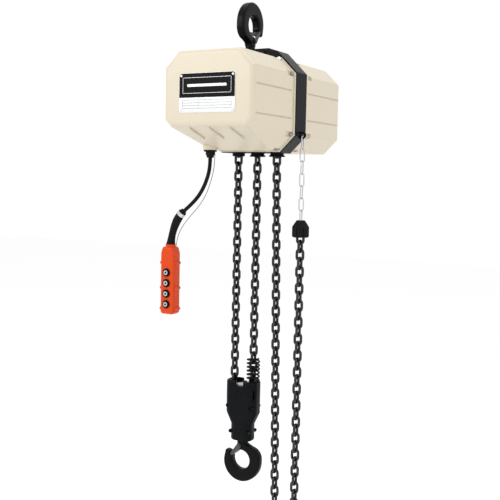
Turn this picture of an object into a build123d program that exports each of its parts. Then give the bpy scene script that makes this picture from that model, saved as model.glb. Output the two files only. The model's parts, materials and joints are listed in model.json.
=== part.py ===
"""Electric chain hoist, two falls of load chain, with a pendant control.

The origin is the seat of the top hook, where the hoist is hung up. +Z is up, the body lies
along Y with its name plate end towards -Y, and the falls of chain hang in the plane y = 0.
"""
from build123d import *
import os
from math import acos, asin, atan2, cos, degrees, pi, radians, sin, sqrt, tan

os.makedirs("parts", exist_ok=True)

# ---------------------------------------------------------------- load chain and wheels
chain_wire = 7.1
chain_pitch = 21.0
chain_width = 24.0
pockets = 4                     # pockets in each chain wheel, two links to a pocket
link_play = 0.10                # slack between two links where they bear on each other
hanging_links = 33              # links of one fall between the axes of the two wheels
block_links = 2                 # straight links of each fall inside the bottom block
dead_links = 31                 # links from the bottom wheel's axis up to the dead end
slack_links = 47
wheel_links = 2                 # links of the slack side that are still beside the load wheel
guided_links = 5                # links of the slack side held upright by the chain guide
return_links = 34
slack_drift = 15.0              # how far the slack side swings out over its length

half_step = 90 / pockets                                      # half of one link's angle
fall_offset = chain_pitch / (2 * sin(radians(half_step)))     # wheel axis to a fall

# ---------------------------------------------------------------- hooks
hook_seat_radius = 25.0
hook_crown = 33.0               # depth of metal under the load
hook_thickness = 22.0
hook_shank = 24.0               # diameter
hook_neck = 40.0                # seat centre to the start of the round shank
hook_fillet = 6.0
hook_height = 118.0             # crown to the face that the shank leaves
shank_fit = 0.08                # radial clearance of a shank or pin in its bore
bearing_depth = 8.0
nut_height = 16.0
nut_across = 32.0
running_gap = 0.1               # axial, where one piece turns on the face of another
latch_thickness = 2.0
latch_pin = 5.0                 # diameter
latch_reach = 31.0
latch_gap = 0.5                 # between the latch's cheeks and the hook

# ---------------------------------------------------------------- body
body_centre = 22.0              # x of the body's middle; the hook hangs at x = 0
cover_width = 238.0
cover_height = 222.0
cover_chamfer = 38.0
cover_wall = 4.0
front_length = 207.0
rear_length = 222.0
nose_height = 172.0             # height of the front cover at its end
nose_chamfer = 16.0
slope_length = 155.0            # the slanted underside, back from the end
frame_depth = 56.0
frame_proud = 5.0               # how far the frame stands out beyond the covers
frame_rise = 20.0               # and above them
frame_chamfer = 54.0
yoke_rise = 8.5
yoke_width = 134.0
yoke_depth = 48.0
flange_lip = 3.0
flange_depth = 7.0
groove_drops = (79.0, 145.0)    # trim grooves, below the covers' top
groove_depth = 1.5
groove_width = 3.0

# ---------------------------------------------------------------- drive
sheave_rise = 72.0              # load wheel axis above the underside of the covers
sheave_width = 34.0
sheave_rim = 28.5               # radius
sheave_shaft = 20.0             # diameter
chamber_gap = 2.0               # round the chain and beside the wheels
motor_x = 14.0
motor_drop = 98.5               # motor axis below the covers' top
bearing_width = 9.0
bearing_ring = 40.0             # outside diameter
load_module = 1.75
load_teeth = 60
pinion_teeth = 12
motor_module = 1.5
wheel_teeth = 54
gear_width = 9.0
gear_backlash = 0.30
gear_gap = 3.0                  # between the two stages and to the walls
gear_wall = 4.0
motor_diameter = 150.0
motor_bore = 84.0
motor_length = 96.0
motor_shaft = 22.0              # diameter
air_gap = 0.5
brake_diameter = 112.0
brake_gap = 0.6
fan_diameter = 130.0
fan_blades = 8

# ---------------------------------------------------------------- bottom block
block_width = 88.0
block_depth = 50.0
block_corner = 20.0
block_neck = 60.0               # width of the barrel that holds the hook
block_above = 33.5              # top of the block above its wheel's axis
block_shoulder = 50.5           # axis down to the shoulder
block_taper = 30.0
block_barrel = 43.0
spring_diameter = 35.0
spring_wire = 4.6
spring_length = 62.0
spring_turns = 6

# ---------------------------------------------------------------- guides, stopper, slack side
guide_mouth = 40.0
guide_length = 42.0
guide_below = 9.0               # below the frame
stopper_diameter = 42.0
stopper_height = 42.0
tie_wire = 3.2
tie_pitch = 30.0
tie_links = 7
tie_width = 14.5

# ---------------------------------------------------------------- pendant and its cable
cable_diameter = 9.5
wire_diameter = 1.6
pendant_x = -166.0
pendant_y = -98.0
pendant_top = -581.0
pendant_height = 172.0
pendant_width = 40.0
pendant_depth = 34.0
pendant_wall = 2.6
button_diameter = 17.0
button_pitch = 27.0
button_first = 65.0             # below the pendant's top
button_fit = 0.4

# ---------------------------------------------------------------- details
play = 1.1                      # round a link in its pocket and in the groove
rim_chamfer = 1.5
shaft_fit = 0.05                # radial, of an axle or sleeve that turns or slides
nose_round = 12.0
tail_round = 20.0
pocket_radius = 6.5
pocket_length = 38.0
screw_inset = 1.0
screw_diameter = 5.0
screw_head = 8.5
screw_head_height = 5.0
screw_socket = 4.0
screw_grip = 12.0
groove_start = 10.0
groove_stop = 14.0
rib_pitch = 54.0
rib_width = 4.0
rib_height = 4.0
rib_inset = 10.0                # from the end of the cover
rib_length = 66.0
vent_slots = 9
vent_pitch = 15.0
vent_length = 120.0
vent_width = 6.0
plate_x = 21.0
plate_drop = 98.0               # middle of the name plate below the covers' top
plate_width = 150.0
plate_height = 90.0
plate_corner = 7.0
plate_thickness = 0.8
plate_rivet_inset = 6.0
rivet_diameter = 3.0
rivet_head = 6.0
rivet_head_height = 1.2
frame_round = 4.0
eye_radius = 4.0
eye_wall = 4.5
eye_thickness = 3.2
stopper_under = 4.0             # the stopper reaches this far below the last link's pivot
tie_seat = 6.0                  # the tie chain's end below the stopper's top
yoke_sink = 18.0                # how deep the yoke sits in the frame
yoke_round = 3.0
yoke_bolt = 10.0
yoke_bolt_x = 52.0
yoke_bolt_head = 15.0
yoke_bolt_head_height = 7.0
yoke_bolt_drop = 7.5            # below the frame's top
nut_room = 2.0
wheel_axle = 12.0
axle_end = 3.0                  # how deep the second axle runs into the gear case
lightening = 16.0               # holes in the load gear
pressure_angle = 20.0
tooth_tip = 0.75                # stub teeth, in modules
tooth_root = 1.05
core_start = 44.0               # y of the motor's core
motor_start = 30.0
motor_wall = 6.0
motor_end = 152.0
brake_length = 20.0
brake_plate = 6.0
brake_bore = 46.0
fan_start = 200.0
fan_width = 22.0
fan_hub = 40.0
fan_blade = 3.0
block_neck_depth = 46.0
block_round = 5.0
block_floor = 9.0
block_notch = 24.0
block_notch_depth = 13.0
block_axle = 18.0
block_seat = 17.0               # y of the seats of the block's bolts
block_bolt = 6.0
block_bolt_head = 10.0
block_bolt_head_height = 5.0
axle_chamfer = 1.0
nut_clear = 0.8
block_hook_drop = 52.0          # barrel's end to the load hook's seat centre
hook_pin = (-4.0, 37.0)         # latch pin, from the seat's centre
latch_angle = -130.0
latch_toe = 4.0
latch_web = 13.0
pin_head = 1.5
axle_socket = 8.0
motor_neck = 14.0               # diameter of the motor shaft at its pinion
guide_sleeve = 17.0             # radius
guide_bore = 13.2               # radius
guide_throat_depth = 14.0
guide_lip = 4.5
dead_boss = 16.0                # radius
dead_boss_below = 8.0
dead_boss_round = 1.5
dead_end_room = 18.0
dead_pin = 9.0
gland_x = -52.0
gland_y = -98.0
gland_boss = 18.0
gland_boss_height = 12.0
gland_boss_drop = 1.0           # seat of the gland below the underside
gland_thread = 9.0
panel_gap = 4.0
panel_width = 176.0
panel_height = 128.0
panel_thickness = 2.0
panel_drop = 106.0
panel_foot = 20.0
contactor_places = (-30.0, 22.0)
transformer_x = 76.0
switch_x = -12.0
switch_z = -312.0
stopper_neck = 10.5             # radius
stopper_slots = 8
gland_flange = 4.0
gland_across = 22.0
gland_nut = 8.0
gland_dome = 7.0
boot_bend = 26.0
boot_radii = ((0, 8.0), (0.08, 9.5), (0.5, 10.0), (1, 12.0))
clamp_share = 0.1
clamp_radius = 11.2
clamp_wall = 1.2
clamp_width = 9.0
collar_height = 6.0
pendant_neck = 15.0
pendant_shoulder = 16.0
pendant_foot = 5.0
pendant_round = 6.0
pendant_boss = 4.5              # radius
pendant_boss_depth = 11.0
pendant_boss_drops = (41.0, 105.0, 158.0)
pendant_collar = 13.0
bezel_wall = 1.6
bezel_height = 2.4
button_proud = 4.6
button_flange = 1.6

# ---------------------------------------------------------------- derived places
corner_share = 2 - sqrt(2)      # how much a 45 degree corner shrinks when its outline is drawn in
yoke_top = hook_crown - hook_height
frame_top = yoke_top - yoke_rise
cover_top = frame_top - frame_rise
cover_bottom = cover_top - cover_height
frame_bottom = cover_bottom - frame_proud
frame_face = frame_depth / 2
load_axis_x = 2 * fall_offset
load_axis_z = cover_bottom + sheave_rise
motor_z = cover_top - motor_drop
panel_z = cover_top - panel_drop
plate_z = cover_top - plate_drop
yoke_bottom = frame_top - yoke_sink
yoke_bolt_z = frame_top - yoke_bolt_drop
gland_seat_z = cover_bottom - gland_boss_drop
guide_mouth_z = frame_bottom - guide_below
guide_lip_top = guide_mouth_z + guide_lip
guide_throat = guide_mouth_z + guide_throat_depth
guide_top = guide_mouth_z + guide_length
motor_passage = motor_neck / 2 + chamber_gap
first_stage = frame_face + chamber_gap
second_stage = first_stage + gear_width + gear_gap
gear_room = chamber_gap + 2 * (gear_width + gear_gap)
fan_end = fan_start + fan_width
rib_start = -(frame_face + front_length - rib_inset)
rib_end = rib_start + rib_length

# the second gear wheel's axis: two gear centre distances from the motor's axis and the load's
first_centres = motor_module * (pinion_teeth + wheel_teeth) / 2
second_centres = load_module * (pinion_teeth + load_teeth) / 2
axes_apart = sqrt((load_axis_x - motor_x) ** 2 + (load_axis_z - motor_z) ** 2)
axes_angle = atan2(load_axis_z - motor_z, load_axis_x - motor_x)
wheel_angle = axes_angle + acos((first_centres ** 2 + axes_apart ** 2 - second_centres ** 2)
                                / (2 * first_centres * axes_apart))
wheel_x = motor_x + first_centres * cos(wheel_angle)
wheel_z = motor_z + first_centres * sin(wheel_angle)


def slope_z(y):
    """Height of the front cover's slanted underside at y."""
    start = -(frame_face + front_length - slope_length)
    return cover_bottom + (cover_height - nose_height) * (start - y) / slope_length


def plate_rivet_places():
    across = plate_width / 2 - plate_rivet_inset
    up = plate_height / 2 - plate_rivet_inset
    return [(plate_x + i * across, plate_z + j * up) for i in (-1, 1) for j in (-1, 1)]

# ---------------------------------------------------------------- chain
# A link that stands on edge takes its neighbour's crown against its own round end, so the
# neighbours pivot about the centre of that end.  A link that lies flat spans between two pivots.
edge_reach = chain_pitch / 2 - (chain_width / 2 - chain_wire)
flat_reach = chain_pitch - edge_reach
turn = 2 * half_step                                          # between two links on a wheel
edge_angle = degrees(atan2(edge_reach * sin(radians(turn)),
                           flat_reach + edge_reach * cos(radians(turn))))
pivot_radius = edge_reach / sin(radians(edge_angle))
flat_radius = pivot_radius * cos(radians(turn - edge_angle))  # middle of a flat link
edge_radius = pivot_radius * cos(radians(edge_angle))         # middle of a link on edge
entry_rise = pivot_radius * sin(radians(half_step - edge_angle))


def stands(number):
    """Every other link, from the first at the dead end, stands on edge in the plane XZ."""
    return number % 2 == 0


def reach(number):
    return edge_reach if stands(number) else flat_reach


def make_link(pitch, width, wire, sides):
    """A link in the plane XY, long along X: straight sides and ends of three flats."""
    half_length = (pitch + wire) / 2
    half_width = (width - wire) / 2
    flat = half_width * tan(radians(22.5))
    corner = half_length - half_width + flat
    with BuildPart() as link:
        with BuildLine() as path:
            Polyline((0, -half_width), (corner, -half_width), (half_length, -flat),
                     (half_length, flat), (corner, half_width), (-corner, half_width),
                     (-half_length, flat), (-half_length, -flat), (-corner, -half_width),
                     (0, -half_width))
        with BuildSketch(Plane(origin=path.line @ 0, x_dir=(0, 1, 0), z_dir=(1, 0, 0))):
            RegularPolygon(wire / 2, sides)
        sweep(transition=Transition.RIGHT)
    return link.part


def place_links(start, headings, first, link, spans=reach):
    """Links along a route of headings in the plane XZ; returns them and the route's end."""
    x, z = start
    placed = []
    for number, heading in enumerate(headings, first):
        along = (cos(radians(heading)), 0, sin(radians(heading)))
        middle = (x + along[0] * spans(number), 0, z + along[2] * spans(number))
        across = (0, 1, 0) if stands(number) else (-along[2], 0, along[0])
        placed.append(Plane(origin=middle, x_dir=along, z_dir=across).location * link)
        x += 2 * along[0] * spans(number)
        z += 2 * along[2] * spans(number)
    return placed, (x, z)


def turned(heading, steps, side):
    """Headings of the links round half a wheel, turning to the side given."""
    return [heading + side * (half_step + step * turn) for step in range(steps)]


def span_of(first, count):
    return sum(2 * reach(number) for number in range(first, first + count))


wrap_first = dead_links
live_first = wrap_first + pockets
load_first = live_first + hanging_links
slack_first = load_first + pockets
swing_first = slack_first + guided_links

idle_axis_z = load_axis_z + 2 * entry_rise - span_of(live_first, hanging_links)
dead_end_z = idle_axis_z + entry_rise + span_of(0, dead_links)
dead_pin_z = dead_end_z + chain_width / 2 - chain_wire - dead_pin / 2
chamber_radius = edge_radius + chain_width / 2 + chamber_gap
block_top = idle_axis_z + block_above
block_bottom = idle_axis_z - block_shoulder - block_taper - block_barrel
block_bolt_places = [(side * across, idle_axis_z - below) for side in (-1, 1)
                     for across, below in ((35.0, 34.0), (25.0, 100.0))]
swing_length = span_of(swing_first, slack_links - guided_links)
swing = degrees(asin(slack_drift / swing_length))

down_headings = [-90] * dead_links
block_headings = turned(-90, pockets, 1)
up_headings = [90] * hanging_links
load_headings = turned(90, pockets, -1)
slack_headings = [-90] * guided_links + [swing - 90] * (slack_links - guided_links)
loop_headings = turned(-90, pockets, 1)
return_headings = [90] * return_links

link = make_link(chain_pitch, chain_width, chain_wire - link_play, 4)
chain, slack_end = place_links((-fall_offset, dead_end_z),
                               down_headings + block_headings + up_headings + load_headings
                               + slack_headings + loop_headings + return_headings, 0, link)
block_first = dead_links - block_links
block_last = live_first + block_links
slack_start = slack_first + wheel_links
stopper_bottom = slack_end[1] - stopper_under
stopper_top = stopper_bottom + stopper_height
tie_start_z = stopper_top - tie_seat + tie_links * tie_pitch
eye_z = tie_start_z + eye_radius - link_play
print(f"chain: {len(chain)} links, ends at x {slack_end[0]:.2f}, z {slack_end[1]:.2f}")


load_chain_dead_fall = Compound(label="load_chain_dead_fall", children=chain[:block_first])
export_step(load_chain_dead_fall, "parts/load_chain_dead_fall.step")
load_chain_in_block = Compound(label="load_chain_in_block", children=chain[block_first:block_last])
export_step(load_chain_in_block, "parts/load_chain_in_block.step")
load_chain_live_fall = Compound(label="load_chain_live_fall", children=chain[block_last:slack_start])
export_step(load_chain_live_fall, "parts/load_chain_live_fall.step")
load_chain_slack_side = Compound(label="load_chain_slack_side", children=chain[slack_start:])
export_step(load_chain_slack_side, "parts/load_chain_slack_side.step")


# ---------------------------------------------------------------- chain wheels
def chain_wheel(axis_x, axis_z, bore):
    """A pocket wheel on an axis along Y: flat links lie in its pockets, the others in its groove."""
    pocket_floor = flat_radius - chain_wire / 2 - play
    groove_floor = edge_radius - chain_width / 2 - play
    centre = Plane(origin=(axis_x, 0, axis_z), z_dir=(0, -1, 0), x_dir=(1, 0, 0))
    with BuildPart() as wheel:
        with BuildSketch(centre):
            Circle(sheave_rim)
        extrude(amount=sheave_width / 2, both=True)
        chamfer(wheel.edges().filter_by(GeomType.CIRCLE), rim_chamfer)
        with BuildSketch(centre):
            Circle(sheave_rim + 1)
            Circle(groove_floor, mode=Mode.SUBTRACT)
        extrude(amount=chain_wire / 2 + play, both=True, mode=Mode.SUBTRACT)
        for pocket in range(pockets):
            angle = radians(half_step + pocket * 360 / pockets)
            outward = (cos(angle), 0, sin(angle))
            floor = (axis_x + pocket_floor * outward[0], 0, axis_z + pocket_floor * outward[2])
            tangent = (-outward[2], 0, outward[0])
            with BuildSketch(Plane(origin=floor, x_dir=tangent, z_dir=outward)):
                SlotOverall(chain_pitch + 2 * chain_wire + 2 * play, chain_width + 2 * play)
            extrude(amount=sheave_rim, mode=Mode.SUBTRACT)
        if bore:
            with BuildSketch(centre):
                Circle(bore)
            extrude(amount=sheave_width, both=True, mode=Mode.SUBTRACT)
    return wheel.part


def along_y(x, z, y=0.0):
    """A plane facing -Y at the place given, with its x along +X and its y along +Z."""
    return Plane(origin=(x, y, z), x_dir=(1, 0, 0), z_dir=(0, -1, 0))


def octagon(inset, height, foot):
    """The outline of the covers, drawn in by inset, with lower corners cut by foot."""
    side = cover_width / 2 - inset
    cut = cover_chamfer - inset * corner_share
    low = foot - inset * corner_share
    top = cover_top - inset
    bottom = cover_top - height + inset
    left = body_centre - side
    right = body_centre + side
    return [(left + cut, top), (right - cut, top), (right, top - cut), (right, bottom + low),
            (right - low, bottom), (left + low, bottom), (left, bottom + low), (left, top - cut)]


def front_form(inset):
    """The front cover's outer form, or its hollow when drawn in by the wall."""
    with BuildPart() as form:
        with BuildSketch(Plane.XZ.offset(frame_face)):
            Polygon(*octagon(inset, cover_height, cover_chamfer), align=None)
        extrude(amount=front_length - slope_length)
        with BuildSketch(Plane.XZ.offset(frame_face + front_length - slope_length)):
            Polygon(*octagon(inset, cover_height, cover_chamfer), align=None)
        with BuildSketch(Plane.XZ.offset(frame_face + front_length - inset)):
            Polygon(*octagon(inset, nose_height, nose_chamfer), align=None)
        loft(ruled=True)
        fillet(form.edges().group_by(Axis.Y)[0], nose_round - inset)
    return form.part


def rear_form(inset):
    with BuildPart() as form:
        with BuildSketch(Plane.XZ.offset(-frame_face)):
            Polygon(*octagon(inset, cover_height, cover_chamfer), align=None)
        extrude(amount=-(rear_length - inset))
        fillet(form.edges().group_by(Axis.Y)[-1], tail_round - inset)
    return form.part


def screw_places():
    return octagon(screw_inset, cover_height, cover_chamfer)


def cover(form, face, side):
    """A cover from its forms: flange, screw pockets in the corners and trim grooves.

    side is 1 in front and -1 behind, and face is the distance of the joint from y = 0.
    """
    length = front_length if side > 0 else rear_length
    with BuildPart() as bosses:
        with BuildSketch(Plane.XZ.offset(side * face)):
            with Locations(*screw_places()):
                Circle(pocket_radius + cover_wall)
        extrude(amount=side * (pocket_length + cover_wall))
        add(form(0), mode=Mode.INTERSECT)
    with BuildPart() as shell:
        add(form(0))
        with BuildSketch(Plane.XZ.offset(side * face)):
            Polygon(*octagon(-flange_lip, cover_height, cover_chamfer), align=None)
        extrude(amount=side * flange_depth)
        add(form(cover_wall), mode=Mode.SUBTRACT)
        add(bosses.part)
        with BuildSketch(Plane.XZ.offset(side * (face + flange_depth))):
            with Locations(*screw_places()):
                Circle(pocket_radius)
        extrude(amount=side * (pocket_length - flange_depth), mode=Mode.SUBTRACT)
        with BuildSketch(Plane.XZ.offset(side * face)):
            with Locations(*screw_places()):
                Circle(screw_diameter / 2)
        extrude(amount=side * flange_depth, mode=Mode.SUBTRACT)
        for drop in groove_drops:
            start = side * (face + flange_depth + groove_start)
            reach_y = side * (length - flange_depth - groove_start - groove_stop)
            with BuildSketch(Plane.XZ.offset(start)):
                with Locations((body_centre - cover_width / 2, cover_top - drop),
                               (body_centre + cover_width / 2, cover_top - drop)):
                    Rectangle(2 * groove_depth, groove_width)
            extrude(amount=reach_y, mode=Mode.SUBTRACT)
    return shell.part


with BuildPart() as front_cover:
    add(cover(front_form, frame_face, 1))
    with BuildSketch(Plane.XY.offset(gland_seat_z)):
        with Locations((gland_x, gland_y)):
            Circle(gland_boss)
    extrude(amount=gland_boss_height)
    with BuildSketch(Plane.XY.offset(gland_seat_z)):
        with Locations((gland_x, gland_y)):
            Circle(gland_thread)
    extrude(amount=gland_boss_height, mode=Mode.SUBTRACT)
    for number in (-1, 0, 1):
        rib_x = body_centre + number * rib_pitch
        with BuildSketch(Plane.YZ.offset(rib_x - rib_width / 2)):
            Polygon((rib_start, slope_z(rib_start) + cover_wall / 2),
                    (rib_end, slope_z(rib_end) + cover_wall / 2),
                    (rib_end, slope_z(rib_end) - rib_height),
                    (rib_start, slope_z(rib_start) - rib_height), align=None)
        extrude(amount=rib_width)
    with BuildSketch(Plane.XZ.offset(frame_face + front_length)):
        with Locations(*plate_rivet_places()):
            Circle(rivet_diameter / 2)
    extrude(amount=-cover_wall, mode=Mode.SUBTRACT)
front_cover.part.label = "front_cover"
export_step(front_cover.part, "parts/front_cover.step")

with BuildPart() as rear_cover:
    add(cover(rear_form, frame_face, -1))
    with BuildSketch(Plane.XZ.offset(-(frame_face + rear_length - 2 * cover_wall))):
        with Locations((motor_x, motor_z)):
            with GridLocations(0, vent_pitch, 1, vent_slots):
                SlotOverall(vent_length, vent_width)
    extrude(amount=-3 * cover_wall, mode=Mode.SUBTRACT)
rear_cover.part.label = "rear_cover"
export_step(rear_cover.part, "parts/rear_cover.step")

with BuildPart() as cover_screws:
    for side in (1, -1):
        with BuildSketch(Plane.XZ.offset(side * (frame_face + flange_depth))):
            with Locations(*screw_places()):
                Circle(screw_head / 2)
        extrude(amount=side * screw_head_height)
        with BuildSketch(Plane.XZ.offset(side * (frame_face + flange_depth + screw_head_height))):
            with Locations(*screw_places()):
                RegularPolygon(screw_socket / 2, 6)
        extrude(amount=-side * screw_head_height / 2, mode=Mode.SUBTRACT)
        with BuildSketch(Plane.XZ.offset(side * (frame_face - screw_grip))):
            with Locations(*screw_places()):
                Circle(screw_diameter / 2)
        extrude(amount=side * (screw_grip + flange_depth))
cover_screws.part.label = "cover_screws"
export_step(cover_screws.part, "parts/cover_screws.step")

# the name plate: a stamped plate with its corners rounded, held by four rivets
with BuildPart() as name_plate:
    with BuildSketch(Plane.XZ.offset(frame_face + front_length)):
        with Locations((plate_x, plate_z)):
            RectangleRounded(plate_width, plate_height, plate_corner)
        with Locations(*plate_rivet_places()):
            Circle(rivet_diameter / 2, mode=Mode.SUBTRACT)
    extrude(amount=plate_thickness)
name_plate.part.label = "name_plate"
export_step(name_plate.part, "parts/name_plate.step")

with BuildPart() as plate_rivets:
    with BuildSketch(Plane.XZ.offset(frame_face + front_length - cover_wall)):
        with Locations(*plate_rivet_places()):
            Circle(rivet_diameter / 2)
    extrude(amount=cover_wall + plate_thickness)
    with BuildSketch(Plane.XZ.offset(frame_face + front_length + plate_thickness)):
        with Locations(*plate_rivet_places()):
            Circle(rivet_head / 2)
    extrude(amount=rivet_head_height, taper=30)
plate_rivets.part.label = "plate_rivets"
export_step(plate_rivets.part, "parts/plate_rivets.step")


# ---------------------------------------------------------------- frame, yoke and guides
def frame_outline():
    side = cover_width / 2 + frame_proud
    left = body_centre - side
    right = body_centre + side
    low = cover_chamfer + frame_proud * corner_share
    return [(left + frame_chamfer, frame_top), (right - frame_chamfer, frame_top),
            (right, frame_top - frame_chamfer), (right, frame_bottom + low),
            (right - low, frame_bottom), (left + low, frame_bottom),
            (left, frame_bottom + low), (left, frame_top - frame_chamfer)]


with BuildPart() as centre_frame:
    with BuildSketch(Plane.XZ) as body_outline:
        Polygon(*frame_outline(), align=None)
        fillet(body_outline.vertices(), frame_round)
    extrude(amount=frame_face, both=True)
    # the side lug that carries the slack side's tie chain is thinner than the frame
    frame_side = body_centre + cover_width / 2 + frame_proud
    with BuildSketch(Plane.XZ):
        with Locations((slack_end[0], eye_z)):
            Circle(eye_radius + eye_wall)
        with Locations((frame_side - eye_wall, eye_z)):
            Rectangle(slack_end[0] - frame_side + eye_wall, 2 * (eye_radius + eye_wall),
                      align=(Align.MIN, Align.CENTER))
        with Locations((slack_end[0], eye_z)):
            Circle(eye_radius, mode=Mode.SUBTRACT)
    extrude(amount=eye_thickness / 2, both=True)
    # the cast boss round the dead end stands below the frame
    with BuildSketch(Plane.XY.offset(frame_bottom - dead_boss_below)):
        with Locations((-fall_offset, 0)):
            Circle(dead_boss)
    extrude(amount=2 * dead_boss_below)
    fillet(centre_frame.edges().group_by(Axis.Z)[0], dead_boss_round)
    # the load wheel's chamber, its bearings, and the motor shaft's passage
    with BuildSketch(Plane.XZ):
        with Locations((load_axis_x, load_axis_z)):
            Circle(chamber_radius)
    extrude(amount=sheave_width / 2 + chamber_gap, both=True, mode=Mode.SUBTRACT)
    with BuildSketch(Plane.XZ):
        with Locations((load_axis_x, load_axis_z)):
            Circle(bearing_ring / 2)
        with Locations((motor_x, motor_z)):
            Circle(motor_passage)
    extrude(amount=frame_depth, both=True, mode=Mode.SUBTRACT)
    with BuildSketch(Plane.XZ.offset(frame_face)):
        with Locations((wheel_x, wheel_z)):
            Circle(wheel_axle / 2 + shaft_fit)
    extrude(amount=-axle_socket, mode=Mode.SUBTRACT)
    # the guides' bores and the dead end's, from below
    with BuildSketch(Plane.XY.offset(frame_bottom)):
        with Locations((load_axis_x - fall_offset, 0), (load_axis_x + fall_offset, 0)):
            Circle(guide_sleeve + shaft_fit)
    extrude(amount=load_axis_z - frame_bottom, mode=Mode.SUBTRACT)
    with BuildSketch(Plane.XY.offset(frame_bottom - dead_boss_below)):
        with Locations((-fall_offset, 0)):
            Circle(guide_bore)
    extrude(amount=dead_end_z + dead_end_room - frame_bottom + dead_boss_below, mode=Mode.SUBTRACT)
    with BuildSketch(Plane.XZ):
        with Locations((-fall_offset, dead_pin_z)):
            Circle(dead_pin / 2)
    extrude(amount=frame_depth, both=True, mode=Mode.SUBTRACT)
    # the yoke's slot, the room for the hook's nut below it, and the yoke's bolts
    with BuildSketch(Plane.XY.offset(yoke_bottom)):
        Rectangle(yoke_width, yoke_depth)
    extrude(amount=yoke_top - yoke_bottom, mode=Mode.SUBTRACT)
    with BuildSketch(Plane.XY.offset(yoke_bottom)):
        Circle(nut_across / 2 / cos(radians(30)) + nut_room)
    extrude(amount=-(bearing_depth + nut_height + nut_room), mode=Mode.SUBTRACT)
    with BuildSketch(Plane.XZ):
        with Locations((-yoke_bolt_x, yoke_bolt_z), (yoke_bolt_x, yoke_bolt_z)):
            Circle(yoke_bolt / 2)
        with Locations(*screw_places()):
            Circle(screw_diameter / 2)
    extrude(amount=frame_depth, both=True, mode=Mode.SUBTRACT)
centre_frame.part.label = "centre_frame"
export_step(centre_frame.part, "parts/centre_frame.step")

with BuildPart() as suspension_yoke:
    with BuildSketch(Plane.XY.offset(yoke_bottom)):
        Rectangle(yoke_width, yoke_depth)
    extrude(amount=yoke_top - yoke_bottom)
    fillet(suspension_yoke.edges().group_by(Axis.Z)[-1], yoke_round)
    with BuildSketch(Plane.XY.offset(yoke_top)):
        Circle(hook_shank / 2 + shank_fit)
    extrude(amount=yoke_bottom - yoke_top, mode=Mode.SUBTRACT)
    with BuildSketch(Plane.XZ):
        with Locations((-yoke_bolt_x, yoke_bolt_z), (yoke_bolt_x, yoke_bolt_z)):
            Circle(yoke_bolt / 2)
    extrude(amount=frame_depth, both=True, mode=Mode.SUBTRACT)
suspension_yoke.part.label = "suspension_yoke"
export_step(suspension_yoke.part, "parts/suspension_yoke.step")

with BuildPart() as yoke_bolts:
    with BuildSketch(Plane.XZ):
        with Locations((-yoke_bolt_x, yoke_bolt_z), (yoke_bolt_x, yoke_bolt_z)):
            Circle(yoke_bolt / 2)
    extrude(amount=frame_face, both=True)
    for side in (1, -1):
        with BuildSketch(Plane.XZ.offset(side * frame_face)):
            with Locations((-yoke_bolt_x, yoke_bolt_z), (yoke_bolt_x, yoke_bolt_z)):
                RegularPolygon(yoke_bolt_head / 2, 6, major_radius=False)
        extrude(amount=side * yoke_bolt_head_height)
yoke_bolts.part.label = "yoke_bolts"
export_step(yoke_bolts.part, "parts/yoke_bolts.step")

for name, fall_x in (("live_chain_guide", load_axis_x - fall_offset),
                     ("slack_chain_guide", load_axis_x + fall_offset)):
    with BuildPart() as chain_guide:
        with BuildSketch(Plane.XZ) as section:
            with BuildLine():
                Polyline((guide_bore, guide_top), (guide_sleeve, guide_top),
                         (guide_sleeve, guide_lip_top), (guide_mouth / 2, guide_lip_top - 1.5),
                         (guide_mouth / 2, guide_mouth_z), (guide_mouth / 2 - 2.5, guide_mouth_z),
                         (guide_bore, guide_throat), close=True)
            make_face()
        revolve(axis=Axis.Z)
    guide = Pos(fall_x, 0, 0) * chain_guide.part
    guide.label = name
    export_step(guide, f"parts/{name}.step")

with BuildPart() as dead_end_pin:
    with BuildSketch(Plane.XZ):
        with Locations((-fall_offset, dead_pin_z)):
            Circle(dead_pin / 2)
    extrude(amount=frame_face, both=True)
dead_end_pin.part.label = "dead_end_pin"
export_step(dead_end_pin.part, "parts/dead_end_pin.step")


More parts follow.
